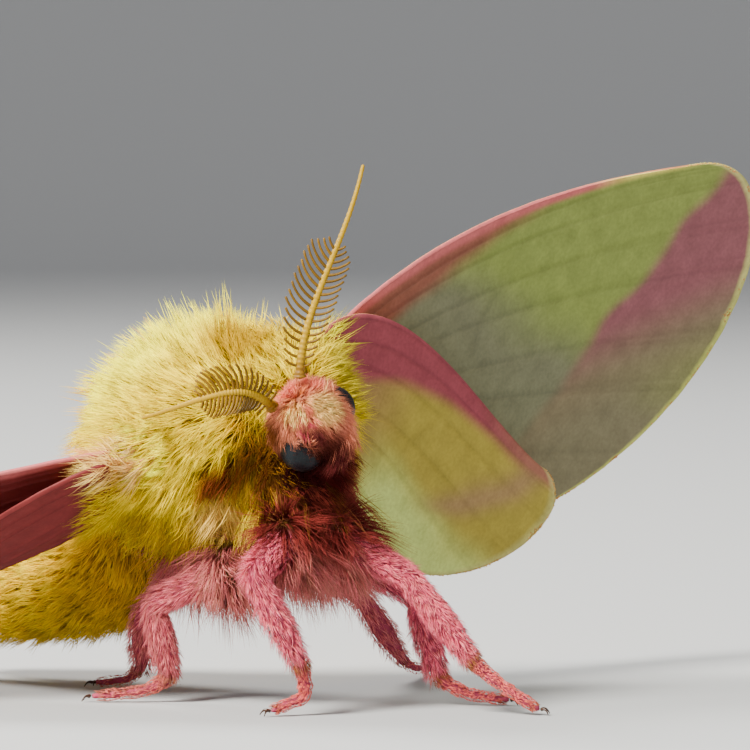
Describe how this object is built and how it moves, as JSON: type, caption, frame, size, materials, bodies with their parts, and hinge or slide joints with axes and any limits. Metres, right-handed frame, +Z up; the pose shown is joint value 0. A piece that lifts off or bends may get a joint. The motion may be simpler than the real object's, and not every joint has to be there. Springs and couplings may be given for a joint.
{
  "type": "moth model",
  "caption": "Life-size still model of a rosy maple moth standing with spread wings, raised feathered antennae and a long yellow and pink coat.",
  "frame": {"origin": "middle of the bounding box's underside, on the floor that the feet stand on", "axes": "+X to the moth's left along its spread wings, -Y ahead of the moth, +Z up"},
  "size_m": [0.0396, 0.0192, 0.015],
  "materials": {
    "thorax": "dense yellow coat of hair-like scales",
    "head": "short pink and cream coat",
    "eye_left": "glossy near-black compound eye",
    "eye_right": "glossy near-black compound eye",
    "antenna_left": "ochre, matt",
    "antenna_right": "ochre, matt",
    "forewing_left": "matt scaled wing membrane, pink and yellow",
    "forewing_right": "matt scaled wing membrane, pink and yellow",
    "hindwing_left": "matt scaled wing membrane, pale yellow with a pink front edge",
    "hindwing_right": "matt scaled wing membrane, pale yellow with a pink front edge",
    "abdomen": "dense yellow coat of hair-like scales",
    "leg_fore_left": "pink hairy leg",
    "leg_fore_right": "pink hairy leg",
    "leg_mid_left": "pink hairy leg",
    "leg_mid_right": "pink hairy leg",
    "leg_hind_left": "pink hairy leg",
    "leg_hind_right": "pink hairy leg"
  },
  "bodies": {
    "root": {"thorax": "thorax", "head": "head", "eye_left": "eye_left", "eye_right": "eye_right", "antenna_left": "antenna_left", "antenna_right": "antenna_right", "forewing_left": "forewing_left", "forewing_right": "forewing_right", "hindwing_left": "hindwing_left", "hindwing_right": "hindwing_right", "abdomen": "abdomen", "leg_fore_left": "leg_fore_left", "leg_fore_right": "leg_fore_right", "leg_mid_left": "leg_mid_left", "leg_mid_right": "leg_mid_right", "leg_hind_left": "leg_hind_left", "leg_hind_right": "leg_hind_right"}
  },
  "joints": []
}
